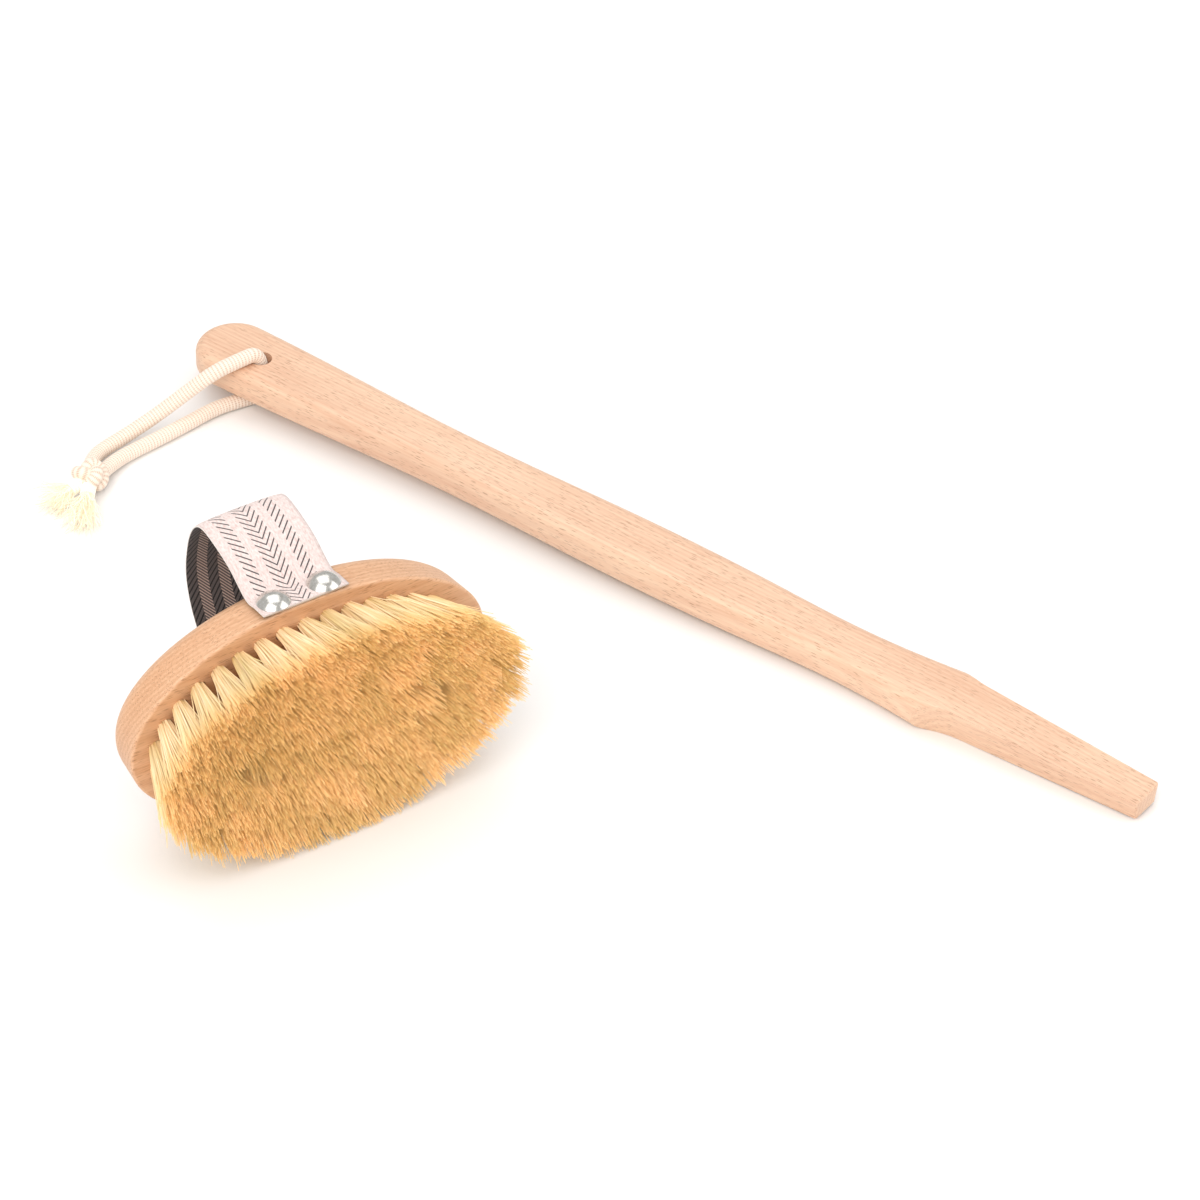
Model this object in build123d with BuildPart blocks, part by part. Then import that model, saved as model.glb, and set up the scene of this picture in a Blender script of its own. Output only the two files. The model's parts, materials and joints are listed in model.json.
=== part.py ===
from build123d import *
import os
from math import cos, pi, radians, sin, tan

os.makedirs("parts", exist_ok=True)

# A bath and body dry brush as it lies on a table, in millimetres, +Z up, table top at z = 0.
# The oval head lies on its long side with its bristles towards -Y and its hand strap above and behind.
# The detached handle lies beside it, with its tapered tongue at the near end and a cord at the far end.

# Head block
head_long = 122.0  # length of the oval
head_wide = 73.0  # width of the oval
head_thick = 17.5
wall_draft = 6.0  # the side wall leans in towards the back, degrees
back_round = 8.0
face_round = 0.8

# Where the head lies
head_x = -74.58  # centre of the bristle face from the origin
head_y = -33.72
head_z = 39.73
head_lean = 3.0  # the bristles point a little down, degrees

# Bristle tufts, each folded over a staple in its own hole
tuft_hole_r = 2.4
tuft_hole_deep = 7.0
tuft_root_r = 2.2
tuft_tip_r = 3.75
tuft_length = 22.5
ring_insets = (8.4, 15.4, 22.4)  # from the edge of the face, at the roots
ring_tip_insets = (2.4, 11.0, 19.3)  # the same at the tips, because the tufts fan out
ring_counts = (35, 29, 23)
core_rows = ((0.0, 7), (7.0, 5), (-7.0, 5))  # row offset and tufts in the row
core_pitch = 8.0
core_fan = 1.12  # how far the core fans out from root to tip
staple_wide = 3.6
staple_thick = 0.6
staple_high = 3.0
staple_in_wood = 1.5

# Hand strap and its studs
strap_wide = 29.0
strap_thick = 1.0
strap_gap = 0.1  # off the wall
strap_x = -1.1  # centre of the strap along the head
nailed_deep = 10.8  # how far behind the bristle face it lies flat on the walls
strap_loop = (  # from the upper wall over the back to the lower wall: across the head, behind the face
    (41.5, -20.5),
    (44.6, -31.0),
    (44.6, -37.5),
    (40.5, -42.0),
    (32.0, -45.4),
    (20.0, -47.0),
    (9.0, -44.6),
    (-2.0, -38.6),
    (-14.0, -32.4),
    (-26.0, -26.6),
    (-33.8, -19.0),
)
strap_stations = 60  # short flat stretches that make up the loop
stud_spacing = 17.0
stud_set_back = 4.6  # from the bristle face
stud_r = 5.2
stud_high = 2.8
stud_gap = 0.05  # off the strap
stud_shank_r = 0.8
stud_shank_long = 6.4
pilot_clear = 0.2  # the pilot hole is this much deeper than the shank

# Groove in the back of the head for the tongue of the handle
groove_deep = 7.5
groove_long = 66.0  # from the end of the oval
fit_gap = 0.2
cut_past = 1.0  # how far a cut runs out of the wood

# Handle
handle_long = 378.0
handle_thick = 12.0
handle_round = 4.0
grip_wide = 26.6
# width of the grip at distances from its end
grip_side = ((68, 23.2), (108, 20.8), (184, 23.2), (233, 21.2), (270, 19.0))
shoulder_at = 306.0
shoulder_wide = 24.4
scoop_long = 8.0  # the sides of the tongue curve out to the shoulder over this length
scoop_past = 2.0  # the scoop runs out past the shoulder's side by this
tongue_wide = 17.4  # wide face where the scoop ends
tongue_tip_wide = 13.0
tongue_drop = 3.4  # how far the wide face falls towards the tip
tongue_rise = 2.0  # how far the narrow face rises towards the tip
tongue_undercut = 12.0  # degrees
tip_round = 1.0
tip_clear = 5.0  # how far the cuts for the flanks run past the tip
hang_hole_at = 26.8
hang_hole_off = -2.0  # it was drilled a little to one side
hang_hole_r = 3.75

# Where the handle lies
grip_end = (8.56, 179.5)  # far end of the grip on the table
handle_yaw = 18.83  # away from -Y towards +X, degrees
grip_lift = 5.8  # the cord lies under the grip

# Hanging cord
cord_d = 5.0
cord_gap = 0.4  # from the handle's faces
cord_meets = 11.4  # height in the hole at which the two strands meet
cord_area = pi * (cord_d / 2) ** 2
knot_at = (-11.1, -73.2, 5.8)
knot_r = 6.5
knot_high = 11.2
fray_r = 4.0


def place(plane, x, y, z):
    """A point given in a plane's own coordinates."""
    return plane.from_local_coords(Vector(x, y, z))


def ring_edge(inset):
    """The oval line at an inset from the edge of the bristle face."""
    return Edge.make_ellipse(head_long / 2 - inset, head_wide / 2 - inset)


def tuft_places(ring):
    """Root and tip of each tuft of a ring, evenly spaced along it."""
    roots = ring_edge(ring_insets[ring])
    tips = ring_edge(ring_tip_insets[ring])
    count = ring_counts[ring]
    return [(roots @ (i / count), tips @ (i / count)) for i in range(count)]


def core_places():
    """Root and tip of each tuft in the straight rows inside the rings."""
    pairs = []
    for offset, count in core_rows:
        for i in range(count):
            root = Vector((i - (count - 1) / 2) * core_pitch, offset)
            pairs.append((root, root * core_fan))
    return pairs


def wall_line(back):
    """Half width of the head at its middle, at a depth behind the bristle face."""
    return head_wide / 2 - back * tan(radians(wall_draft))


def beside(line, share, off):
    """A point off to the left of a line, at a share of its length."""
    heading = line % share
    return line @ share + Vector(-heading.Y, heading.X) * off


# The head's own axes: x along the oval, y across it and up, z out of the bristle face
lean = radians(head_lean)
head = Plane(origin=(head_x, head_y, head_z), x_dir=(1, 0, 0), z_dir=(0, -cos(lean), -sin(lean)))

# The handle's own axes: x from the grip to the tongue, y across it, z out of its upper face
yaw = radians(handle_yaw)
along = Vector(sin(yaw), -cos(yaw), -grip_lift / shoulder_at)
across = Vector(cos(yaw), sin(yaw), 0)
handle_axes = Plane(origin=(*grip_end, grip_lift), x_dir=along, z_dir=along.cross(across))

# How far each side of the tongue leans in, per millimetre of its thickness
undercut = tan(radians(tongue_undercut))
tongue_long = handle_long - shoulder_at

tuft_sets = {f"ring_{i + 1}": tuft_places(i) for i in range(len(ring_insets))}
tuft_sets["core"] = core_places()
all_roots = [root for pairs in tuft_sets.values() for root, tip in pairs]

wall_lean = head_thick * tan(radians(wall_draft))
stud_places = {
    "stud_upper_left": (-1, 1),
    "stud_upper_right": (1, 1),
    "stud_lower_left": (-1, -1),
    "stud_lower_right": (1, -1),
}


def stud_axes(side, up):
    """Where a stud's head sits on the strap: z points out of the wall."""
    seat_y = wall_line(stud_set_back) + strap_gap + strap_thick + stud_gap
    seat = place(head, strap_x + side * stud_spacing / 2, up * seat_y, -stud_set_back)
    out = head.y_dir * up * cos(radians(wall_draft)) - head.z_dir * sin(radians(wall_draft))
    return Plane(origin=seat, x_dir=head.x_dir, z_dir=out)


# Head block: an oval with a leaning wall and a rounded back
with BuildPart() as head_block:
    with BuildSketch(head):
        Ellipse(head_long / 2, head_wide / 2)
    with BuildSketch(head.offset(-head_thick)):
        Ellipse(head_long / 2 - wall_lean, head_wide / 2 - wall_lean)
    loft()
    face_edge = head_block.edges().sort_by(Axis(head.origin, head.z_dir))[-1]
    back_edge = head_block.edges().sort_by(Axis(head.origin, head.z_dir))[0]
    fillet(back_edge, back_round)
    fillet(face_edge, face_round)

    # holes for the tufts
    with Locations(head):
        with Locations(*[Vector(root.X, root.Y, 0) for root in all_roots]):
            Hole(tuft_hole_r, tuft_hole_deep)

    # pilot holes for the studs
    for side, up in stud_places.values():
        with Locations(stud_axes(side, up)):
            Hole(stud_shank_r, stud_shank_long + pilot_clear)

    # tapered dovetail groove, wide at its floor, open at the +X end and at the back
    taper = (tongue_wide - tongue_tip_wide) / (tongue_long - scoop_long)
    mouth = place(head, head_long / 2 + cut_past, 0, -head_thick)
    for_groove = Plane(origin=mouth, x_dir=head.y_dir, z_dir=head.x_dir)
    widths = (tongue_wide + 2 * fit_gap, tongue_wide + 2 * fit_gap - taper * groove_long)
    for wide, step in zip(widths, (0, -groove_long)):
        with BuildSketch(for_groove.offset(step)):
            with BuildLine():
                Polyline(
                    (-wide / 2, groove_deep),
                    (wide / 2, groove_deep),
                    (wide / 2 - (groove_deep + cut_past) * undercut, -cut_past),
                    (-wide / 2 + (groove_deep + cut_past) * undercut, -cut_past),
                    close=True,
                )
            make_face()
    loft(mode=Mode.SUBTRACT)

head_block.part.label = "head_block"
export_step(head_block.part, "parts/head_block.step")


# Tufts and staples, one node of each for every ring and for the core
for name, pairs in tuft_sets.items():
    with BuildPart() as tufts:
        for root, tip in pairs:
            with BuildSketch(head.offset(-tuft_hole_deep)):
                with Locations((root.X, root.Y)):
                    Circle(tuft_root_r)
            extrude(amount=tuft_hole_deep)
            with BuildSketch(head):
                with Locations((root.X, root.Y)):
                    Circle(tuft_root_r)
            with BuildSketch(head.offset(tuft_length)):
                with Locations((tip.X, tip.Y)):
                    Circle(tuft_tip_r)
            loft()
        # the slot that the staple takes up
        with Locations(head.offset(-tuft_hole_deep)):
            with Locations(*[Vector(root.X, root.Y, 0) for root, tip in pairs]):
                Box(
                    staple_wide,
                    staple_thick,
                    2 * (staple_high - staple_in_wood),
                    mode=Mode.SUBTRACT,
                )
    tufts.part.label = f"tufts_{name}"
    export_step(tufts.part, f"parts/tufts_{name}.step")

    with BuildPart() as anchors:
        with Locations(head.offset(-tuft_hole_deep - staple_in_wood)):
            with Locations(*[Vector(root.X, root.Y, 0) for root, tip in pairs]):
                Box(staple_wide, staple_thick, staple_high, align=(Align.CENTER, Align.CENTER, Align.MIN))
    anchors.part.label = f"anchors_{name}"
    export_step(anchors.part, f"parts/anchors_{name}.step")


# Hand strap: a flat webbing nailed to both long walls, looping over the back
nailed = [(up * (wall_line(back) + strap_gap + strap_thick / 2), -back)
          for up, back in ((1, 0), (1, nailed_deep), (-1, nailed_deep), (-1, 0))]
upper_end = Line(nailed[0], nailed[1])
lower_end = Line(nailed[2], nailed[3])
loop = Spline(nailed[1], *strap_loop, nailed[2], tangents=(upper_end % 1, lower_end % 0))
outline = []
for half in (strap_thick / 2, -strap_thick / 2):
    edge = [beside(loop, i / strap_stations, half) for i in range(strap_stations + 1)]
    edge = [beside(upper_end, 0, half), *edge, beside(lower_end, 1, half)]
    outline += edge if half > 0 else reversed(edge)
strap_plane = Plane(origin=place(head, strap_x, 0, 0), x_dir=head.y_dir, z_dir=head.x_dir)
with BuildPart() as strap:
    with BuildSketch(strap_plane):
        with BuildLine():
            Polyline(*outline, close=True)
        make_face()
    extrude(amount=strap_wide / 2, both=True)
    for side, up in stud_places.values():
        with Locations(stud_axes(side, up)):
            Hole(stud_shank_r, 2 * strap_thick)

strap.part.label = "strap"
export_step(strap.part, "parts/strap.step")


# Dome-headed studs
dome_r = (stud_r**2 + stud_high**2) / (2 * stud_high)
for name, (side, up) in stud_places.items():
    seat = stud_axes(side, up)
    with BuildPart() as stud:
        with BuildSketch(Plane(origin=seat.origin, x_dir=seat.x_dir, z_dir=-seat.y_dir)):
            with BuildLine():
                Line((0, stud_high), (0, 0))
                Line((0, 0), (stud_r, 0))
                RadiusArc((stud_r, 0), (0, stud_high), -dome_r)
            make_face()
        revolve(axis=Axis(seat.origin, seat.z_dir))
        with BuildSketch(seat):
            Circle(stud_shank_r)
        extrude(amount=-stud_shank_long)
    stud.part.label = name
    export_step(stud.part, f"parts/{name}.step")


# Handle: a flat bar with rounded edges, a drilled grip and a tapered undercut tongue
with BuildPart() as handle:
    half_grip = grip_wide / 2
    with BuildSketch(handle_axes):
        with BuildLine():
            side = Spline(
                (half_grip, half_grip),
                *[(at, wide / 2) for at, wide in grip_side],
                (shoulder_at, shoulder_wide / 2),
                tangents=((1, -0.01), (1, 0.12)),
            )
            Line(side @ 1, (handle_long, shoulder_wide / 2))
            Line((handle_long, shoulder_wide / 2), (handle_long, 0))
            RadiusArc(side @ 0, (0, 0), -half_grip)
            Line((0, 0), (handle_long, 0))
        make_face()
        mirror(about=Plane.XZ)
    extrude(amount=handle_thick)
    ends = handle.faces().sort_by(Axis(handle_axes.origin, handle_axes.x_dir))[-1].edges()
    rim = handle.faces().filter_by(Axis(handle_axes.origin, handle_axes.z_dir)).edges()
    fillet([edge for edge in rim if edge not in ends], handle_round)

    # hanging hole through the grip
    with Locations(handle_axes):
        with Locations((hang_hole_at, hang_hole_off, handle_thick)):
            Hole(hang_hole_r, handle_thick)

    # tongue: its wide face falls and its narrow face rises towards the tip
    with BuildSketch(Plane(origin=handle_axes.origin, x_dir=handle_axes.x_dir, z_dir=-handle_axes.y_dir)):
        with BuildLine():
            Polyline(
                (shoulder_at, handle_thick),
                (handle_long, handle_thick - tongue_drop),
                (handle_long, handle_thick),
                close=True,
            )
        make_face()
        with BuildLine():
            Polyline((shoulder_at, 0), (handle_long, tongue_rise), (handle_long, 0), close=True)
        make_face()
    extrude(amount=grip_wide, both=True, mode=Mode.SUBTRACT)

    # its two sides are undercut: straight from the tip, then scooped out to the shoulder
    with BuildSketch(handle_axes.offset(handle_thick)):
        with BuildLine():
            tip_side = tongue_tip_wide / 2 + tongue_drop * undercut
            flank = Line((handle_long, tip_side), (shoulder_at + scoop_long, tongue_wide / 2))
            scoop_end = (shoulder_at - scoop_long, shoulder_wide / 2 + scoop_past)
            TangentArc(flank @ 1, scoop_end, tangent=flank % 1)
            Line(scoop_end, (shoulder_at - scoop_long, grip_wide))
            Line((shoulder_at - scoop_long, grip_wide), (handle_long + tip_clear, grip_wide))
            Line((handle_long + tip_clear, grip_wide), (handle_long + tip_clear, tip_side))
            Line((handle_long + tip_clear, tip_side), flank @ 0)
        make_face()
        mirror(about=Plane.XZ)
    extrude(amount=-handle_thick - cut_past, taper=-tongue_undercut, mode=Mode.SUBTRACT)

    # softened tip
    tip_face = handle.faces().sort_by(Axis(handle_axes.origin, handle_axes.x_dir))[-1]
    fillet(tip_face.edges(), tip_round)

handle.part.label = "handle"
export_step(handle.part, "parts/handle.step")


# Hanging cord: two strands from the hole to the knot, given from the hole: along, across, height
hole = place(handle_axes, hang_hole_at, hang_hole_off, 0)
table_axes = Plane(origin=(hole.X, hole.Y, 0), x_dir=(sin(yaw), -cos(yaw), 0), z_dir=(0, 0, 1))
in_hole = (0, 0, cord_meets)
over_grip = hole.Z + handle_thick + cord_d / 2 + cord_gap
on_table = cord_d / 2 + 0.05
strands = {
    "cord_upper_strand": [
        in_hole,
        (0.0, 0.0, over_grip),
        (-2.3, -9.0, over_grip),
        (-5.4, -17.5, over_grip - 1.2),
        (-11.4, -26.0, 12.2),
        (-16.4, -36.0, 6.4),
        (-19.0, -47.0, 4.0),
        (-20.2, -57.5, 3.6),
        (-18.6, -64.0, 4.4),
        (-15.4, -68.6, 5.4),
    ],
    "cord_lower_strand": [
        in_hole,
        (0.0, 0.0, on_table),
        (-4.0, -8.0, on_table),
        (-7.4, -16.5, on_table),
        (-8.8, -28.0, on_table),
        (-10.6, -40.0, on_table),
        (-12.8, -51.5, on_table),
        (-13.0, -60.0, on_table + 0.6),
        (-10.9, -67.9, on_table + 1.9),
    ],
}

for name, route in strands.items():
    points = [place(table_axes, *point) for point in route]
    runs = [after - before for before, after in zip(points, points[1:])]
    radii = []
    for before, after in zip(runs, runs[1:]):
        half_turn = radians(before.get_angle(after)) / 2
        radii.append(0.45 * min(before.length, after.length) / tan(half_turn))
    print(name, "radii", [round(radius, 1) for radius in radii])
    with BuildPart() as strand:
        with BuildLine() as path:
            FilletPolyline(*points, radius=radii)
        with BuildSketch(Plane(origin=points[0], z_dir=runs[0])):
            Circle(cord_d / 2)
        sweep()
    length = sum(edge.length for edge in path.edges())
    print(name, "length", round(length, 1), "volume ratio", round(strand.part.volume / length / cord_area, 4))
    strand.part.label = name
    export_step(strand.part, f"parts/{name}.step")

with BuildPart() as cord_knot:
    middle = place(table_axes, *knot_at)
    with BuildSketch(Plane(origin=middle, x_dir=(1, 0, 0), z_dir=(0, -1, 0))):
        with BuildLine():
            rim = knot_high / 2
            Line((0, -rim), (knot_r - rim, -rim))
            RadiusArc((knot_r - rim, -rim), (knot_r - rim, rim), -rim)
            Line((knot_r - rim, rim), (0, rim))
            Line((0, rim), (0, -rim))
        make_face()
    revolve(axis=Axis(middle, (0, 0, 1)))
cord_knot.part.label = "cord_knot"
export_step(cord_knot.part, "parts/cord_knot.step")

cord_ends = {
    "cord_end_left": ((-12.1, -78.4, 4.9), (-13.6, -88.7, 4.2)),
    "cord_end_right": ((-7.4, -78.2, 4.9), (-0.4, -88.4, 4.2)),
}
for name, route in cord_ends.items():
    start, end = [place(table_axes, *point) for point in route]
    with BuildPart() as cord_end:
        with BuildSketch(Plane(origin=start, z_dir=end - start)):
            Circle(cord_d / 2)
        with BuildSketch(Plane(origin=end, z_dir=end - start)):
            Circle(fray_r)
        loft()
    cord_end.part.label = name
    export_step(cord_end.part, f"parts/{name}.step")
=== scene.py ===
import json
from math import atan2, cos, pi, radians, sin

import bpy
import numpy as np
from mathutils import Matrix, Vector


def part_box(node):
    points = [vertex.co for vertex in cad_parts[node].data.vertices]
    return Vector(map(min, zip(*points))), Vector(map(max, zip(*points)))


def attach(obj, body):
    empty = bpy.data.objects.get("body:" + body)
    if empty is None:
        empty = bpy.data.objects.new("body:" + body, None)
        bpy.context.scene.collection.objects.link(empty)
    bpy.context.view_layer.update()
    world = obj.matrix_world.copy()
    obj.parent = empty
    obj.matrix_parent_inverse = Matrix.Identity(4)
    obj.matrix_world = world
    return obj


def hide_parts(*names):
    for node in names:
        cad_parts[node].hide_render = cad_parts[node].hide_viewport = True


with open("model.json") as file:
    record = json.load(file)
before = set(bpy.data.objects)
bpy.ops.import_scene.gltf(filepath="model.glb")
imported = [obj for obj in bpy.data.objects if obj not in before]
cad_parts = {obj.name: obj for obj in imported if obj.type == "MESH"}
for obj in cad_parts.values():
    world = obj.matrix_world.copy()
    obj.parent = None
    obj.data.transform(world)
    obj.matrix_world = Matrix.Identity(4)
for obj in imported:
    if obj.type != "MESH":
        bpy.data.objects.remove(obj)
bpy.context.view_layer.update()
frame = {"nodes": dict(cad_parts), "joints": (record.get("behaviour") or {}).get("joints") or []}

MM = 0.001
JOINTS = {joint["name"]: joint for joint in frame["joints"]}

# The head's axes: the bristles point out of the face, a little below level
LEAN = radians(3.0)
HEAD_ALONG = Vector((1, 0, 0))
HEAD_UP = Vector((0, -sin(LEAN), cos(LEAN)))
HEAD_OUT = Vector((0, -cos(LEAN), -sin(LEAN)))

# The handle's axes, from its joints: along its grain towards the grip, across it, and out of its upper face
GRIPWARD = Vector(JOINTS["handle_draw"]["axis"]).normalized()
HANDLE_UP = Vector(JOINTS["loop_swing"]["axis"]).normalized()
HANDLE_ACROSS = HANDLE_UP.cross(GRIPWARD)


# ---------------------------------------------------------------- camera

VIEW_AZIMUTH = radians(33.35)
VIEW_ELEVATION = radians(38.0)
VIEW_DISTANCE = 1.5
VIEW_CENTRE = Vector((0.0502, -0.00065, 0.0))
LENS = 140.9


def add_camera():
    """A long lens at the photograph's angle, without depth of field."""
    forward = Vector((
        sin(VIEW_AZIMUTH) * cos(VIEW_ELEVATION),
        cos(VIEW_AZIMUTH) * cos(VIEW_ELEVATION),
        -sin(VIEW_ELEVATION),
    ))
    camera = bpy.data.objects.new("camera", bpy.data.cameras.new("camera"))
    camera.data.lens = LENS
    camera.data.sensor_width = 36.0
    camera.data.clip_end = 20.0
    camera.location = VIEW_CENTRE - forward * VIEW_DISTANCE
    camera.rotation_euler = forward.to_track_quat("-Z", "Y").to_euler()
    bpy.context.scene.collection.objects.link(camera)
    bpy.context.scene.camera = camera


# ---------------------------------------------------------------- node helpers


class Nodes:
    """A new material's node tree, with short ways to add what the materials here use."""

    def __init__(self, name):
        self.material = bpy.data.materials.new(name)
        self.material.use_nodes = True
        self.tree = self.material.node_tree
        self.shader = self.tree.nodes["Principled BSDF"]

    def add(self, kind, inputs=(), **settings):
        """A node, with its properties set and its inputs set or linked."""
        node = self.tree.nodes.new(kind)
        for key, value in settings.items():
            setattr(node, key, value)
        for key, value in dict(inputs).items():
            self.put(node.inputs[key], value)
        return node

    def put(self, socket, value):
        """Links an output to the socket, or sets the socket to a value."""
        if isinstance(value, bpy.types.NodeSocket):
            self.tree.links.new(value, socket)
        else:
            socket.default_value = value

    def math(self, operation, *values):
        node = self.add("ShaderNodeMath", enumerate(values), operation=operation)
        return node.outputs[0]

    def dot(self, vector, axis):
        inputs = {0: vector, 1: tuple(axis)}
        return self.add("ShaderNodeVectorMath", inputs, operation="DOT_PRODUCT").outputs["Value"]

    def vector(self, x, y, z):
        return self.add("ShaderNodeCombineXYZ", {0: x, 1: y, 2: z}).outputs[0]

    def noise(self, vector, scale, detail=2.0):
        inputs = {"Vector": vector, "Scale": scale, "Detail": detail}
        return self.add("ShaderNodeTexNoise", inputs).outputs["Fac"]

    def remap(self, value, low, high, new_low=0.0, new_high=1.0):
        """The value's range from low to high, spread smoothly over a new range."""
        inputs = {0: value, 1: low, 2: high, 3: new_low, 4: new_high}
        return self.add("ShaderNodeMapRange", inputs, interpolation_type="SMOOTHSTEP").outputs[0]

    def ramp(self, value, *stops):
        """A colour ramp: each stop is a position and a linear colour."""
        node = self.add("ShaderNodeValToRGB", {"Fac": value})
        elements = node.color_ramp.elements
        while len(elements) < len(stops):
            elements.new(0.5)
        for element, (position, colour) in zip(elements, stops):
            element.position = position
            element.color = (*colour, 1)
        return node.outputs["Color"]

    def mix(self, share, first, second, blend_type="MIX"):
        node = self.add("ShaderNodeMix", data_type="RGBA", blend_type=blend_type)
        self.put(node.inputs["Factor"], share)
        for key, colour in (("A", first), ("B", second)):
            socket = [s for s in node.inputs if s.name == key and s.type == "RGBA"][0]
            self.put(socket, (*colour, 1) if isinstance(colour, tuple) else colour)
        return [s for s in node.outputs if s.type == "RGBA"][0]

    def attribute(self, name, output="Fac"):
        return self.add("ShaderNodeAttribute", attribute_name=name).outputs[output]

    def bump(self, height, distance, strength=1.0):
        inputs = {"Height": height, "Distance": distance, "Strength": strength}
        self.put(self.shader.inputs["Normal"], self.add("ShaderNodeBump", inputs).outputs[0])

    def set(self, **inputs):
        """Sets the shader's own sockets; an underscore stands for a space."""
        for key, value in inputs.items():
            self.put(self.shader.inputs[key.replace("_", " ")], value)


# ---------------------------------------------------------------- materials


def beech(name, grain, across, light, dark):
    """Oiled beech: faint growth lines, fine fibre streaks and short brown ray flecks along the grain."""
    n = Nodes(name)
    place = n.add("ShaderNodeTexCoord").outputs["Object"]
    u = n.dot(place, grain)
    v = n.dot(place, across)
    w = n.dot(place, grain.cross(across))

    slow = n.noise(n.vector(n.math("MULTIPLY", u, 9), n.math("MULTIPLY", v, 60), w), 1.0, 3.0)
    bend = n.noise(n.vector(n.math("MULTIPLY", u, 5), n.math("MULTIPLY", v, 20), w), 1.0, 1.0)
    rings = n.math("ADD", n.math("MULTIPLY", v, 3600), n.math("MULTIPLY", w, 1100))
    rings = n.math("SINE", n.math("ADD", rings, n.math("MULTIPLY", bend, 26)))
    streaks = n.vector(n.math("MULTIPLY", u, 70), n.math("MULTIPLY", v, 1900), n.math("MULTIPLY", w, 1900))
    streaks = n.noise(streaks, 1.0, 3.0)

    tone = n.math("MULTIPLY_ADD", n.math("SUBTRACT", slow, 0.5), 1.1, 0.5)
    tone = n.math("MULTIPLY_ADD", rings, 0.12, tone)
    tone = n.math("MULTIPLY_ADD", n.math("SUBTRACT", streaks, 0.5), 1.0, tone)
    colour = n.ramp(tone, (0.15, dark), (0.85, light))

    # ray flecks: slim spindles along the grain, more of them in some places than in others
    wobble = n.math("MULTIPLY", n.math("SUBTRACT", slow, 0.5), 0.8)
    cells = n.vector(
        n.math("MULTIPLY", u, 230),
        n.math("ADD", n.math("MULTIPLY", v, 1900), wobble),
        n.math("MULTIPLY", w, 1900),
    )
    spots = n.add("ShaderNodeTexVoronoi", {"Vector": cells, "Scale": 1.0, "Randomness": 1.0})
    fleck = n.remap(spots.outputs["Distance"], 0.15, 0.36, 1.0, 0.0)
    patchy = n.remap(n.noise(n.vector(n.math("MULTIPLY", u, 60), v, w), 4.0), 0.3, 0.62, 0.18, 0.62)
    fleck = n.math("MULTIPLY", fleck, patchy)
    brown = tuple(0.55 * c * c**0.35 for c in dark)
    n.set(Base_Color=n.mix(fleck, colour, brown))

    rough = n.math("MULTIPLY_ADD", streaks, 0.16, 0.38)
    n.set(Roughness=n.math("MULTIPLY_ADD", fleck, 0.12, rough))
    n.set(Specular_IOR_Level=0.42, Coat_Weight=0.06, Coat_Roughness=0.35)
    height = n.math("SUBTRACT", n.math("MULTIPLY", streaks, 0.6), fleck)
    n.bump(height, 0.05 * MM, 0.45)
    return n.material


def plant_fibre():
    """Tampico fibre: pale cream sides that turn golden to amber at the cut tips, each fibre its own shade."""
    n = Nodes("plant_fibre")
    length = n.attribute("along")
    shade = n.attribute("shade")
    tuft = n.attribute("tuft_shade")
    t = n.math("MULTIPLY_ADD", n.math("SUBTRACT", shade, 0.5), 0.22, length)
    # the darker golden at the root end is painted shade deep among the tufts
    colour = n.ramp(
        t,
        (0.0, (0.70, 0.46, 0.19)),
        (0.12, (0.90, 0.70, 0.40)),
        (0.62, (0.95, 0.77, 0.47)),
        (0.84, (0.97, 0.73, 0.38)),
        (1.0, (0.97, 0.66, 0.29)),
    )
    tint = n.math("MULTIPLY_ADD", shade, 0.34, 0.82)
    tint = n.math("MULTIPLY", tint, n.math("MULTIPLY_ADD", tuft, 0.16, 0.92))
    grey = n.vector(tint, tint, n.math("MULTIPLY", tint, tint))
    n.set(Base_Color=n.mix(1.0, colour, grey, "MULTIPLY"))
    n.set(Roughness=n.math("MULTIPLY_ADD", shade, 0.2, 0.34))
    n.set(Specular_IOR_Level=0.4)
    # painted glow: a faint emission in place of the light the dense fibres pass on to each other
    n.set(Emission_Color=(1.0, 0.70, 0.34, 1.0), Emission_Strength=0.04)
    return n.material


def nickel():
    """Polished nickel with a faint brushed haze."""
    n = Nodes("nickel")
    place = n.add("ShaderNodeTexCoord").outputs["Object"]
    haze = n.noise(place, 900.0, 3.0)
    n.set(Metallic=1.0)
    n.set(Base_Color=n.ramp(haze, (0.3, (0.62, 0.60, 0.56)), (0.7, (0.78, 0.77, 0.74))))
    n.set(Roughness=n.math("MULTIPLY_ADD", haze, 0.14, 0.13))
    n.bump(haze, 0.01 * MM, 0.3)
    return n.material


def drawn_wire():
    """Galvanised staple wire."""
    n = Nodes("steel_wire")
    place = n.add("ShaderNodeTexCoord").outputs["Object"]
    lines = n.noise(place, 3000.0, 2.0)
    n.set(Metallic=1.0)
    n.set(Base_Color=n.ramp(lines, (0.3, (0.42, 0.42, 0.43)), (0.7, (0.62, 0.62, 0.63))))
    n.set(Roughness=n.math("MULTIPLY_ADD", lines, 0.2, 0.3))
    return n.material


WEAVE_PITCH = 2.3 * MM  # from one dash of the pattern to the next, along the strap


def weave_threads(n, u, v):
    """Fine crossing threads, from 0 in the gaps to 1 on the threads."""
    across = n.math("ABSOLUTE", n.math("SINE", n.math("MULTIPLY", u, 2 * pi / (0.75 * MM))))
    along = n.math("ABSOLUTE", n.math("SINE", n.math("MULTIPLY", v, 2 * pi / (0.9 * MM))))
    return n.math("MULTIPLY", n.math("POWER", across, 0.5), n.math("POWER", along, 0.5))


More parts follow.
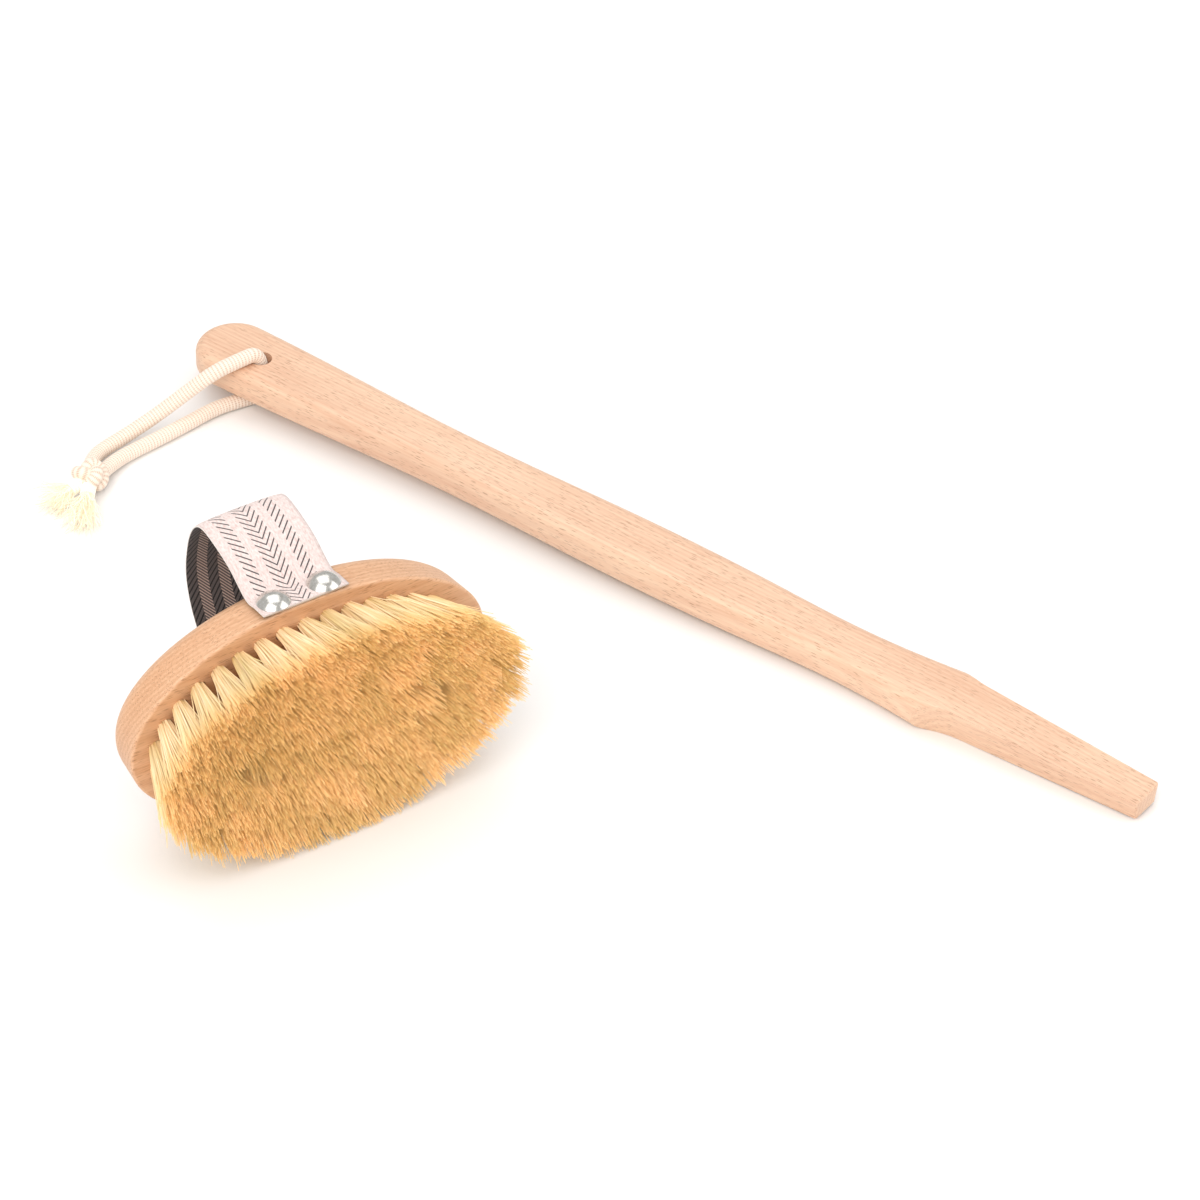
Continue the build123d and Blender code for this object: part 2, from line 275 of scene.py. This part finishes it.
def slanted_lines(n, u, v, slope, pitch, share):
    """1 on lines that climb along the strap by slope times the way across it."""
    turn = n.math("FRACT", n.math("DIVIDE", n.math("MULTIPLY_ADD", u, slope, v), pitch))
    return n.remap(n.math("ABSOLUTE", n.math("SUBTRACT", turn, 0.5)), share / 2 - 0.05, share / 2 + 0.05, 1.0, 0.0)


def column(n, u, low, high):
    """1 between two distances across the strap."""
    inside = n.math("GREATER_THAN", u, low)
    return n.math("MULTIPLY", inside, n.math("LESS_THAN", u, high))


def webbing_outer():
    """The outer face: a pale ground with a column of nested chevrons between two columns of dashes."""
    n = Nodes("webbing_outer")
    uv = n.add("ShaderNodeUVMap", uv_map="weave").outputs[0]
    split = n.add("ShaderNodeSeparateXYZ", {0: uv})
    u, v = split.outputs[0], split.outputs[1]
    wide = STRAP_WIDE
    dashes = None
    for low, high, slope in (
        (0.125, 0.255, 0.95),
        (0.365, 0.478, 1.05),
        (0.478, 0.590, -1.05),
        (0.700, 0.830, -0.95),
    ):
        lines = slanted_lines(n, n.math("SUBTRACT", u, 0.478 * wide), v, slope, WEAVE_PITCH, 0.25)
        lines = n.math("MULTIPLY", lines, column(n, u, low * wide, high * wide))
        dashes = lines if dashes is None else n.math("MAXIMUM", dashes, lines)
    threads = weave_threads(n, u, v)
    speckle = n.noise(n.vector(n.math("MULTIPLY", u, 1600), n.math("MULTIPLY", v, 700), 0.0), 1.0, 2.0)
    ground = n.ramp(speckle, (0.30, (0.68, 0.52, 0.49)), (0.52, (0.80, 0.67, 0.64)), (0.72, (0.86, 0.77, 0.74)))
    # darker in the gaps between the threads: painted shade
    ground = n.mix(n.remap(threads, 0.0, 0.7, 0.22, 0.0), ground, (0.50, 0.38, 0.35))
    n.set(Base_Color=n.mix(n.math("MULTIPLY", dashes, 0.95), ground, (0.035, 0.030, 0.034)))
    n.set(Roughness=n.math("MULTIPLY_ADD", threads, -0.1, 0.85))
    n.set(Specular_IOR_Level=0.25, Sheen_Weight=0.2, Sheen_Roughness=0.6)
    n.bump(n.math("MULTIPLY_ADD", dashes, -0.8, threads), 0.08 * MM, 0.7)
    return n.material


def webbing_inner():
    """The inner face: charcoal columns with black lines between columns of fine beige lines, as a zigzag."""
    n = Nodes("webbing_inner")
    uv = n.add("ShaderNodeUVMap", uv_map="weave").outputs[0]
    split = n.add("ShaderNodeSeparateXYZ", {0: uv})
    u, v = split.outputs[0], split.outputs[1]
    threads = weave_threads(n, u, v)
    step = STRAP_WIDE / 8
    share = n.math("FRACT", n.math("DIVIDE", u, 2 * step))
    odd = n.math("GREATER_THAN", share, 0.5)
    fold = n.math("PINGPONG", u, step)
    black = slanted_lines(n, fold, v, 1.15, WEAVE_PITCH, 0.34)
    beige = slanted_lines(n, fold, v, 1.15, WEAVE_PITCH / 2, 0.36)
    edge = n.remap(n.math("ABSOLUTE", n.math("SUBTRACT", u, STRAP_WIDE / 2)), 0.40 * STRAP_WIDE,
                   0.45 * STRAP_WIDE, 1.0, 0.0)
    # near black in the gaps between the threads: painted shade; the charcoal on the threads is the yarn's colour
    ground = n.ramp(threads, (0.0, (0.045, 0.040, 0.042)), (0.8, (0.115, 0.100, 0.100)))
    dark = n.mix(black, ground, (0.010, 0.009, 0.010))
    light = n.mix(n.math("MULTIPLY", beige, edge), ground, (0.50, 0.38, 0.33))
    n.set(Base_Color=n.mix(odd, dark, light))
    n.set(Roughness=0.85, Specular_IOR_Level=0.25, Sheen_Weight=0.12, Sheen_Roughness=0.6)
    n.bump(n.math("MULTIPLY_ADD", beige, 0.4, threads), 0.08 * MM, 0.7)
    return n.material


def webbing_edge():
    """The white selvedge."""
    n = Nodes("webbing_edge")
    uv = n.add("ShaderNodeUVMap", uv_map="weave").outputs[0]
    split = n.add("ShaderNodeSeparateXYZ", {0: uv})
    picks = n.math("ABSOLUTE", n.math("SINE", n.math("MULTIPLY", split.outputs[1], 2 * pi / (0.9 * MM))))
    # darker between the picks: painted shade on the white selvedge
    n.set(Base_Color=n.ramp(picks, (0.0, (0.66, 0.58, 0.55)), (0.6, (0.90, 0.86, 0.83))))
    n.set(Roughness=0.85, Specular_IOR_Level=0.2)
    n.bump(picks, 0.1 * MM, 0.6)
    return n.material


def cotton(name, light, dark, fuzz=0.06 * MM):
    """Undyed cotton yarn; relief is 0 between the stitches and 1 on them, and the colour is darker where it is low:
    painted shade between the stitches (on loose fibres relief is a random tone for each fibre).
    """
    n = Nodes(name)
    place = n.add("ShaderNodeTexCoord").outputs["Object"]
    relief = n.attribute("relief")
    fluff = n.noise(place, 2600.0, 3.0)
    value = n.math("MULTIPLY_ADD", n.math("SUBTRACT", fluff, 0.5), 0.5, relief)
    n.set(Base_Color=n.ramp(value, (0.15, dark), (0.75, light)))
    n.set(Roughness=n.math("MULTIPLY_ADD", fluff, 0.15, 0.78))
    n.set(Specular_IOR_Level=0.2, Sheen_Weight=0.3, Sheen_Roughness=0.5)
    if fuzz:
        n.bump(fluff, fuzz, 0.6)
    else:
        # painted glow: a faint emission in place of the light that loose fibres pass on to each other
        n.set(Emission_Color=(1.0, 0.92, 0.78, 1.0), Emission_Strength=0.16)
    return n.material


def studio_floor():
    """A plain pale sweep with the faintest mottle."""
    n = Nodes("studio_floor")
    place = n.add("ShaderNodeTexCoord").outputs["Object"]
    n.set(Base_Color=n.ramp(n.noise(place, 3.0), (0.3, (0.90, 0.90, 0.90)), (0.7, (0.93, 0.93, 0.93))))
    n.set(Roughness=0.7, Specular_IOR_Level=0.2)
    return n.material


# ---------------------------------------------------------------- mesh helpers


def new_piece(name, points, faces, materials, body, smooth=True):
    """A mesh object of the object's own, riding on a body."""
    mesh = bpy.data.meshes.new(name)
    mesh.from_pydata([tuple(p) for p in points], [], faces)
    for material in materials:
        mesh.materials.append(material)
    mesh.polygons.foreach_set("use_smooth", [smooth] * len(mesh.polygons))
    piece = bpy.data.objects.new(name, mesh)
    bpy.context.scene.collection.objects.link(piece)
    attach(piece, body)
    return piece


def set_values(piece, name, values):
    """One number for each vertex, for a material to read."""
    attribute = piece.data.attributes.new(name, "FLOAT", "POINT")
    attribute.data.foreach_set("value", np.asarray(values, np.float32))


def frames_along(path):
    """Two normals at each point of a path, turning as little as they can."""
    tangents = np.gradient(path, axis=0)
    tangents /= np.linalg.norm(tangents, axis=1)[:, None]
    first = np.cross(tangents[0], (0.0, 0.0, 1.0))
    if np.linalg.norm(first) < 0.1:
        first = np.cross(tangents[0], (0.0, 1.0, 0.0))
    normals = [first / np.linalg.norm(first)]
    for tangent in tangents[1:]:
        normal = normals[-1] - tangent * np.dot(normals[-1], tangent)
        normals.append(normal / np.linalg.norm(normal))
    normals = np.array(normals)
    return normals, np.cross(tangents, normals)


def evenly(path, step):
    """The same path with its points a step apart."""
    lengths = np.concatenate(([0], np.cumsum(np.linalg.norm(np.diff(path, axis=0), axis=1))))
    wanted = np.linspace(0, lengths[-1], max(2, round(lengths[-1] / step)) + 1)
    return np.stack([np.interp(wanted, lengths, path[:, axis]) for axis in range(3)], axis=1)


BRAID_SIDES = 66
BRAID_COLUMNS = 11  # stitches around the cord
BRAID_STITCH = 1.2 * MM
BRAID_STEP = 0.2 * MM


def braid_tube(path, radius, closed=False):
    """Points, faces and relief of a braided cord: rows of raised stitches that cross around a tube."""
    path = evenly(path, BRAID_STEP)
    normals, sides = frames_along(path)
    count = len(path)
    along = np.arange(count)[:, None] * BRAID_STEP * 2 * pi / (2 * BRAID_STITCH)
    around = np.arange(BRAID_SIDES)[None, :] * 2 * pi / BRAID_SIDES
    left = np.cos(BRAID_COLUMNS * around + along)
    right = np.cos(BRAID_COLUMNS * around - along)
    # relief raises the stitches and also sets the cotton's painted shade between them
    relief = np.clip(0.5 + 0.5 * left * right, 0, 1) ** 0.6
    reach = radius * (0.93 + 0.09 * relief)
    points = (
        path[:, None, :]
        + (reach * np.cos(around))[:, :, None] * normals[:, None, :]
        + (reach * np.sin(around))[:, :, None] * sides[:, None, :]
    )
    faces = []
    for i in range(count - 1):
        for j in range(BRAID_SIDES):
            k = (j + 1) % BRAID_SIDES
            faces.append((i * BRAID_SIDES + j, i * BRAID_SIDES + k, (i + 1) * BRAID_SIDES + k, (i + 1) * BRAID_SIDES + j))
    if not closed:
        faces.append(tuple(reversed(range(BRAID_SIDES))))
        faces.append(tuple(range((count - 1) * BRAID_SIDES, count * BRAID_SIDES)))
    return points.reshape(-1, 3), faces, relief.reshape(-1)


def fibre_mesh(paths, radii):
    """Points and faces of many thin three-sided fibres: paths is fibre by point by 3, radii one for each point."""
    fibres, steps = paths.shape[:2]
    tangents = paths[:, -1] - paths[:, 0]
    tangents /= np.linalg.norm(tangents, axis=1)[:, None]
    helper = np.where(np.abs(tangents[:, 2:3]) < 0.9, np.array([[0.0, 0.0, 1.0]]), np.array([[0.0, 1.0, 0.0]]))
    normals = np.cross(tangents, helper)
    normals /= np.linalg.norm(normals, axis=1)[:, None]
    sides = np.cross(tangents, normals)
    corners = []
    for corner in range(3):
        angle = 2 * pi * corner / 3
        corners.append(normals * cos(angle) + sides * sin(angle))
    corners = np.stack(corners, axis=1)
    points = paths[:, :, None, :] + corners[:, None, :, :] * radii[:, :, None, None]
    faces = []
    for fibre in range(fibres):
        start = fibre * steps * 3
        for step in range(steps - 1):
            ring = start + step * 3
            for corner in range(3):
                after = (corner + 1) % 3
                faces.append((ring + corner, ring + after, ring + 3 + after, ring + 3 + corner))
        end = start + (steps - 1) * 3
        faces.append((end, end + 1, end + 2))
        faces.append((start + 2, start + 1, start))
    return points.reshape(-1, 3), faces


# ---------------------------------------------------------------- cord

CORD_D = 5.0 * MM
HOLE = Vector(JOINTS["loop_swing"]["pos_m"])  # the middle of the hanging hole
CORD_YAW = radians(18.83)
TABLE_ALONG = Vector((sin(CORD_YAW), -cos(CORD_YAW), 0))
TABLE_ACROSS = Vector((cos(CORD_YAW), sin(CORD_YAW), 0))

# Each route from the hole to the knot: along the handle, across it and height, in millimetres from the hole
UPPER_ROUTE = (
    (0.0, 0.0, 11.4),
    (0.0, 0.0, 20.19),
    (-2.3, -9.0, 20.19),
    (-5.4, -17.5, 18.99),
    (-11.4, -26.0, 12.2),
    (-16.4, -36.0, 6.4),
    (-19.0, -47.0, 4.0),
    (-20.2, -57.5, 3.6),
    (-18.6, -64.0, 4.4),
    (-15.4, -68.6, 5.4),
)
LOWER_ROUTE = (
    (0.0, 0.0, 11.4),
    (0.0, 0.0, 2.55),
    (-4.0, -8.0, 2.55),
    (-7.4, -16.5, 2.55),
    (-8.8, -28.0, 2.55),
    (-10.6, -40.0, 2.55),
    (-12.8, -51.5, 2.55),
    (-13.0, -60.0, 3.15),
    (-10.9, -67.9, 4.45),
)


def on_table(along, across, height):
    """A point given from the hole and the table, in millimetres."""
    return Vector((HOLE.x, HOLE.y, 0)) + (TABLE_ALONG * along + TABLE_ACROSS * across + Vector((0, 0, height))) * MM


def smooth_line(route):
    """The points of one NURBS spline with the route's points as its control points."""
    curve = bpy.data.curves.new("cord_line", "CURVE")
    curve.dimensions = "3D"
    curve.resolution_u = 24
    spline = curve.splines.new("NURBS")
    spline.points.add(len(route) - 1)
    for point, place in zip(spline.points, route):
        point.co = (*on_table(*place), 1)
    spline.order_u = 3
    spline.use_endpoint_u = True
    line = bpy.data.objects.new("cord_line", curve)
    mesh = bpy.data.meshes.new_from_object(line)
    points = np.array([vertex.co[:] for vertex in mesh.vertices])
    bpy.data.objects.remove(line)
    bpy.data.curves.remove(curve)
    bpy.data.meshes.remove(mesh)
    return points


def make_strand(name, node, route, exit_height, material):
    """One strand of the hanging loop, from the hole to the knot."""
    path = smooth_line(route)
    points, faces, relief = braid_tube(path, CORD_D / 2)
    strand = new_piece(name, points, faces, [material], "cord_loop")
    set_values(strand, "relief", relief)
    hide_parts(node)
    return strand, path, on_table(0.0, 0.0, exit_height)


def make_knot(material):
    """An overhand knot, pulled tight: a trefoil of cord inside the knot's CAD shape."""
    low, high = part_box("cord_knot")
    centre = np.array((low + high) / 2)
    turns = np.linspace(0, 2 * pi, 400)
    reach = (2.0 + np.cos(3 * turns)) * 1.4 * MM
    path = np.stack([
        reach * np.cos(2 * turns),
        reach * np.sin(2 * turns),
        2.4 * MM * np.sin(3 * turns),
    ], axis=1)
    points, faces, relief = braid_tube(centre + path, 2.2 * MM)
    knot = new_piece("knot", points, faces, [material], "cord_loop")
    set_values(knot, "relief", relief)
    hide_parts("cord_knot")
    return knot


FRAYED = 210  # fibres in a frayed end
FRAYED_POINTS = 9


def make_frayed_end(name, node, start, end, seed, material):
    """A stub of cord that opens into a tuft of curly fibres."""
    rng = np.random.default_rng(seed)
    start = np.array(on_table(*start))
    end = np.array(on_table(*end))
    axis = (end - start) / np.linalg.norm(end - start)
    side = np.cross(axis, (0, 0, 1))
    side /= np.linalg.norm(side)
    up = np.cross(side, axis)

    stub, stub_faces, stub_relief = braid_tube(np.linspace(start - 2.0 * MM * axis, start + 3.5 * MM * axis, 12),
                                               CORD_D / 2)
    angle = rng.uniform(0, 2 * pi, FRAYED)
    spread = np.sqrt(rng.uniform(0, 1, FRAYED))
    length = np.linalg.norm(end - start) * rng.uniform(0.75, 1.2, FRAYED)
    t = np.linspace(0, 1, FRAYED_POINTS)
    wide = (0.9 + 3.6 * t[None, :] ** 0.8) * spread[:, None] * 1.25 * MM
    curl = rng.uniform(0.2, 1.1, (FRAYED, 1)) * MM * t[None, :]
    phase = rng.uniform(0, 2 * pi, (FRAYED, 1)) + t[None, :] * rng.uniform(5, 12, (FRAYED, 1))
    drift = rng.normal(0, 1.8 * MM, (FRAYED, 3))[:, None, :] * t[None, :, None] ** 2
    paths = (
        start + 2.0 * MM * axis
        + (length[:, None] * t[None, :])[:, :, None] * axis
        + (wide * np.cos(angle[:, None]) + curl * np.cos(phase))[:, :, None] * side
        + (wide * np.sin(angle[:, None]) + curl * np.sin(phase))[:, :, None] * up
        + drift
    )
    paths[:, :, 2] = np.maximum(paths[:, :, 2], 0.4 * MM)
    radii = np.full((FRAYED, FRAYED_POINTS), 0.19 * MM) * np.linspace(1, 0.6, FRAYED_POINTS)[None, :]
    fibres, fibre_faces = fibre_mesh(paths, radii)
    shift = len(stub)
    faces = list(stub_faces) + [tuple(i + shift for i in face) for face in fibre_faces]
    piece = new_piece(name, np.concatenate([stub, fibres]), faces, [material], "cord_loop", smooth=False)
    shades = np.repeat(rng.uniform(0.3, 1.0, FRAYED), FRAYED_POINTS * 3)
    set_values(piece, "relief", np.concatenate([stub_relief, shades]))
    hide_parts(node)
    return piece


def make_cord():
    """The hanging loop: two strands, their knot and its two frayed ends."""
    # each yarn's dark colour is painted shade between the stitches, and a random tone on loose fibres
    yarn = cotton("cotton_braid", light=(0.95, 0.84, 0.73), dark=(0.58, 0.36, 0.24))
    fluff = cotton("cotton_fluff", light=(0.97, 0.92, 0.82), dark=(0.90, 0.76, 0.52), fuzz=0.0)
    knot = make_knot(yarn)
    left = make_frayed_end("frayed_end_left", "cord_end_left", (-12.1, -78.4, 4.9), (-13.3, -87.4, 4.0), 11, fluff)
    right = make_frayed_end("frayed_end_right", "cord_end_right", (-7.4, -78.2, 4.9), (0.6, -89.4, 4.0), 12, fluff)
    upper, upper_path, upper_exit = make_strand(
        "upper_strand", "cord_upper_strand", UPPER_ROUTE, 17.3, yarn)
    lower, lower_path, lower_exit = make_strand(
        "lower_strand", "cord_lower_strand", LOWER_ROUTE, 5.3, yarn)


# ---------------------------------------------------------------- bristles

FIBRES_IN_TUFT = 210
FIBRE_STATIONS = np.array([0.0, 0.34, 0.7, 1.0])  # share of the fibre's length
FIBRE_RADII = np.array([0.16, 0.16, 0.15, 0.10]) * MM
TUFT_ROOT_R = 2.1 * MM
SUNK = 2.0 * MM  # how far the fibres reach into their holes


def tuft_ends(node):
    """Root and tip centre of every tuft of a CAD node, from its separate solids."""
    mesh = frame["nodes"][node].data
    places = np.array([vertex.co[:] for vertex in mesh.vertices])
    keys, welded = np.unique(np.round(places / (0.01 * MM)).astype(int), axis=0, return_inverse=True)
    welded = welded.reshape(-1)
    group = np.arange(len(keys))

    def find(i):
        while group[i] != i:
            group[i] = group[group[i]]
            i = group[i]
        return i

    for edge in mesh.edges:
        a, b = (find(welded[i]) for i in edge.vertices)
        group[max(a, b)] = min(a, b)
    roots = np.array([find(i) for i in welded])
    out = np.array(HEAD_OUT)
    ends = []
    for root in sorted(set(roots)):
        solid = places[roots == root]
        level = solid @ out
        tips = solid[level > level.max() - 0.05 * MM]
        face = level.max() - TUFT_LENGTH
        bottom = solid[level < level.min() + 0.05 * MM]
        ends.append((bottom.mean(0) + out * (face - level.min()), (tips.max(0) + tips.min(0)) / 2))
    return sorted(ends, key=lambda pair: (round(float(pair[0][2]), 5), round(float(pair[0][0]), 5)))


TUFT_LENGTH = 22.5 * MM


def make_bristles(ring, seed, material, spread):
    """All tufts of one ring as thin tapered fibres that fan out from their holes."""
    rng = np.random.default_rng(seed)
    node = f"tufts_{ring}"
    up, along, out = np.array(HEAD_UP), np.array(HEAD_ALONG), np.array(HEAD_OUT)
    t = FIBRE_STATIONS[None, :, None]
    paths, shades, tufts = [], [], []
    head_middle = (np.array(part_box("tufts_core")[0]) + np.array(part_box("tufts_core")[1])) / 2
    for root, tip in tuft_ends(node):
        n = FIBRES_IN_TUFT
        angle = rng.uniform(0, 2 * pi, n)
        reach = np.sqrt(rng.uniform(0, 1, n))
        flat = np.stack([np.cos(angle), np.sin(angle)], axis=1) * reach[:, None]
        clumps = rng.normal(0, 0.62, (6, 2))
        nearest = np.argmin(((flat[:, None, :] - clumps[None]) ** 2).sum(2), axis=1)
        tips = flat * spread + (clumps[nearest] - flat) * 0.22 + rng.normal(0, 0.2, (n, 2))
        stray = rng.uniform(0, 1, n) < 0.08
        tips[stray] += rng.normal(0, 0.7, (stray.sum(), 2))
        flat = flat * TUFT_ROOT_R
        tips = tips * TUFT_ROOT_R
        sag = max(0.0, float(np.dot(head_middle - root, up))) / (36 * MM)
        lean = (tip - root) - out * np.dot(tip - root, out)
        tip = tip + lean * (0.25 * sag) + rng.normal(0, 0.45 * MM) * along + rng.normal(0, 0.3 * MM) * up
        tall = 1.0 + rng.normal(0, 0.012) + rng.normal(0, 0.032, n) - 0.12 * (rng.uniform(0, 1, n) < 0.14)
        base = root - out * SUNK
        line = tip - base
        offset = flat[:, None, :] + (tips - flat)[:, None, :] * t**1.15
        bow = rng.normal(0, 0.3 * MM, (n, 1, 2)) * np.sin(pi * t)
        offset = offset + bow
        path = (
            base
            + line * t * tall[:, None, None]
            + offset[:, :, :1] * along
            + offset[:, :, 1:] * up
        )
        paths.append(path)
        shades.append(rng.beta(2.2, 2.0, n))
        tufts.append(np.full(n, rng.uniform(0, 1)))
    paths = np.concatenate(paths)
    shades = np.concatenate(shades)
    tufts = np.concatenate(tufts)
    floor = 0.3 * MM + rng.uniform(0, 0.5 * MM, paths.shape[0])[:, None]
    paths[:, :, 2] = np.maximum(paths[:, :, 2], floor)
    radii = FIBRE_RADII[None, :] * rng.uniform(0.8, 1.15, (len(paths), 1))
    points, faces = fibre_mesh(paths, radii)
    piece = new_piece(f"bristles_{ring}", points, faces, [material], "head", smooth=False)
    for name, values in (("shade", shades), ("tuft_shade", tufts)):
        set_values(piece, name, np.repeat(values, len(FIBRE_STATIONS) * 3))
    set_values(piece, "along", np.tile(np.repeat(FIBRE_STATIONS, 3), len(paths)))
    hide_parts(node)
    return piece


# ---------------------------------------------------------------- strap

STRAP_WIDE = 29.0 * MM
STRAP_THICK = 1.0 * MM
STRAP_X = -1.1 * MM  # centre of the strap along the head
STRAP_ACROSS = 20  # cells across the strap

# Its middle line in the head's own plane: across the head, then behind the bristle face, in millimetres
STRAP_LINE = (
    (37.1, 0.0),
    (36.53, 5.4),
    (35.96, 10.8),
    (41.5, 20.5),
    (44.6, 31.0),
    (44.6, 37.5),
    (40.5, 42.0),
    (32.0, 45.4),
    (20.0, 47.0),
    (9.0, 44.6),
    (-2.0, 38.6),
    (-14.0, 32.4),
    (-26.0, 26.6),
    (-33.8, 19.0),
    (-35.96, 10.8),
    (-36.53, 5.4),
    (-37.1, 0.0),
)


def through(points, steps):
    """A smooth line through the points, by Catmull-Rom."""
    points = np.array(points)
    padded = np.concatenate(([2 * points[0] - points[1]], points, [2 * points[-1] - points[-2]]))
    t = (np.arange(steps) / steps)[:, None]
    line = []
    for a, b, c, d in zip(padded, padded[1:], padded[2:], padded[3:]):
        line.append(0.5 * (2 * b + (c - a) * t + (2 * a - 5 * b + 4 * c - d) * t**2 + (3 * b - a - 3 * c + d) * t**3))
    return np.concatenate([*line, points[-1:]])


def head_centre():
    """Middle of the bristle face: the middle of the core tufts, at the height of their roots."""
    ends = tuft_ends("tufts_core")
    return Vector(np.mean([root for root, tip in ends], axis=0))


def make_strap():
    """The jacquard webbing: a thin ribbon whose edges are a little thinner than its middle."""
    centre = head_centre() + HEAD_ALONG * STRAP_X
    flat_line = through(STRAP_LINE, 8) * MM
    line = np.array([centre + HEAD_UP * y - HEAD_OUT * back for y, back in flat_line])
    line = evenly(line, 0.9 * MM)
    tangents = np.gradient(line, axis=0)
    tangents /= np.linalg.norm(tangents, axis=1)[:, None]
    outward = np.cross(np.array(HEAD_ALONG), tangents)
    length = float(np.linalg.norm(np.diff(line, axis=0), axis=1).sum())
    station = np.linspace(0, length, len(line))

    # A ring of points round the ribbon at each station: the outer face, then the inner face
    across = np.linspace(0, 1, STRAP_ACROSS + 1)
    half = STRAP_THICK / 2 * (1 - 0.55 * np.abs(2 * across - 1) ** 8)
    crown = 0.35 * MM * (1 - (2 * across - 1) ** 2)
    free = np.clip(np.minimum(station, length - station) / (25 * MM) - 0.5, 0, 1)
    ring_u = np.concatenate([across, across[::-1]])
    ring_h = np.concatenate([half, -half[::-1]])
    ring_c = np.concatenate([crown, crown[::-1]])
    height = ring_h[None, :] + ring_c[None, :] * free[:, None]
    points = (
        line[:, None, :]
        + ((ring_u - 0.5) * STRAP_WIDE)[None, :, None] * np.array(HEAD_ALONG)
        + height[:, :, None] * outward[:, None, :]
    )
    count = len(ring_u)
    faces, slots, uvs = [], [], []
    for i in range(len(line) - 1):
        for j in range(count):
            k = (j + 1) % count
            faces.append((i * count + j, (i + 1) * count + j, (i + 1) * count + k, i * count + k))
            slots.append(0 if j < STRAP_ACROSS else 2 if j in (STRAP_ACROSS, count - 1) else 1)
            for corner, row in ((j, i), (j, i + 1), (k, i + 1), (k, i)):
                uvs.append((ring_u[corner] * STRAP_WIDE, station[row]))
    for row in (0, len(line) - 1):
        order = list(reversed(range(count)) if row else range(count))
        faces.append(tuple(row * count + j for j in order))
        slots.append(2)
        uvs.extend((ring_u[j] * STRAP_WIDE, station[row]) for j in order)
    materials = [webbing_outer(), webbing_inner(), webbing_edge()]
    strap = new_piece("webbing_strap", points.reshape(-1, 3), faces, materials, "head")
    strap.data.polygons.foreach_set("material_index", slots)
    layer = strap.data.uv_layers.new(name="weave")
    layer.data.foreach_set("uv", np.array(uvs, np.float32).reshape(-1))
    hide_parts("strap")


# ---------------------------------------------------------------- CAD nodes that stay


def dress(node, material):
    """Gives a CAD node its material."""
    mesh = frame["nodes"][node].data
    mesh.materials.clear()
    mesh.materials.append(material)


def dress_cad_nodes():
    dress("head_block", beech("beech_head", HEAD_ALONG, HEAD_OUT, light=(0.80, 0.50, 0.31), dark=(0.62, 0.33, 0.18)))
    dress("handle", beech("beech_handle", GRIPWARD, HANDLE_ACROSS, light=(0.84, 0.59, 0.42),
                          dark=(0.70, 0.42, 0.28)))
    metal = nickel()
    wire = drawn_wire()
    for node in frame["nodes"]:
        if node.startswith("stud_"):
            dress(node, metal)
        if node.startswith("anchors_"):
            dress(node, wire)


# ---------------------------------------------------------------- studio


def add_area(name, direction, distance, size, power, colour):
    """A square softbox that faces the object."""
    lamp = bpy.data.lights.new(name, "AREA")
    lamp.size = size
    lamp.energy = power
    lamp.color = colour
    light = bpy.data.objects.new(name, lamp)
    direction = Vector(direction).normalized()
    light.location = direction * distance
    light.rotation_euler = (-direction).to_track_quat("-Z", "Y").to_euler()
    bpy.context.scene.collection.objects.link(light)


def add_studio():
    """A pale floor under soft light from the front left, above and behind."""
    mesh = bpy.data.meshes.new("floor")
    size = 3.0
    mesh.from_pydata([(-size, -size, 0), (size, -size, 0), (size, size, 0), (-size, size, 0)], [], [(0, 1, 2, 3)])
    mesh.materials.append(studio_floor())
    floor = bpy.data.objects.new("floor", mesh)
    floor.location.z = -0.1 * MM
    bpy.context.scene.collection.objects.link(floor)

    world = bpy.data.worlds.new("studio")
    world.use_nodes = True
    background = world.node_tree.nodes["Background"]
    background.inputs["Color"].default_value = (1.0, 0.99, 0.97, 1)
    background.inputs["Strength"].default_value = 0.62
    bpy.context.scene.world = world
    add_area("key", (-0.9, -0.6, 1.1), 1.6, 1.3, 16.0, (1.0, 0.98, 0.95))
    add_area("fill", (0.9, -0.8, 0.8), 1.8, 1.4, 8.0, (1.0, 0.99, 0.98))
    add_area("top", (0.1, 0.3, 1.0), 1.6, 1.5, 8.0, (1.0, 1.0, 1.0))
    bpy.context.scene.view_settings.view_transform = "Standard"


add_camera()
make_cord()
fibre = plant_fibre()
for seed, (ring, spread) in enumerate((("ring_1", 2.5), ("ring_2", 2.35), ("ring_3", 2.8), ("core", 3.1))):
    make_bristles(ring, seed, fibre, spread)
make_strap()
dress_cad_nodes()
add_studio()
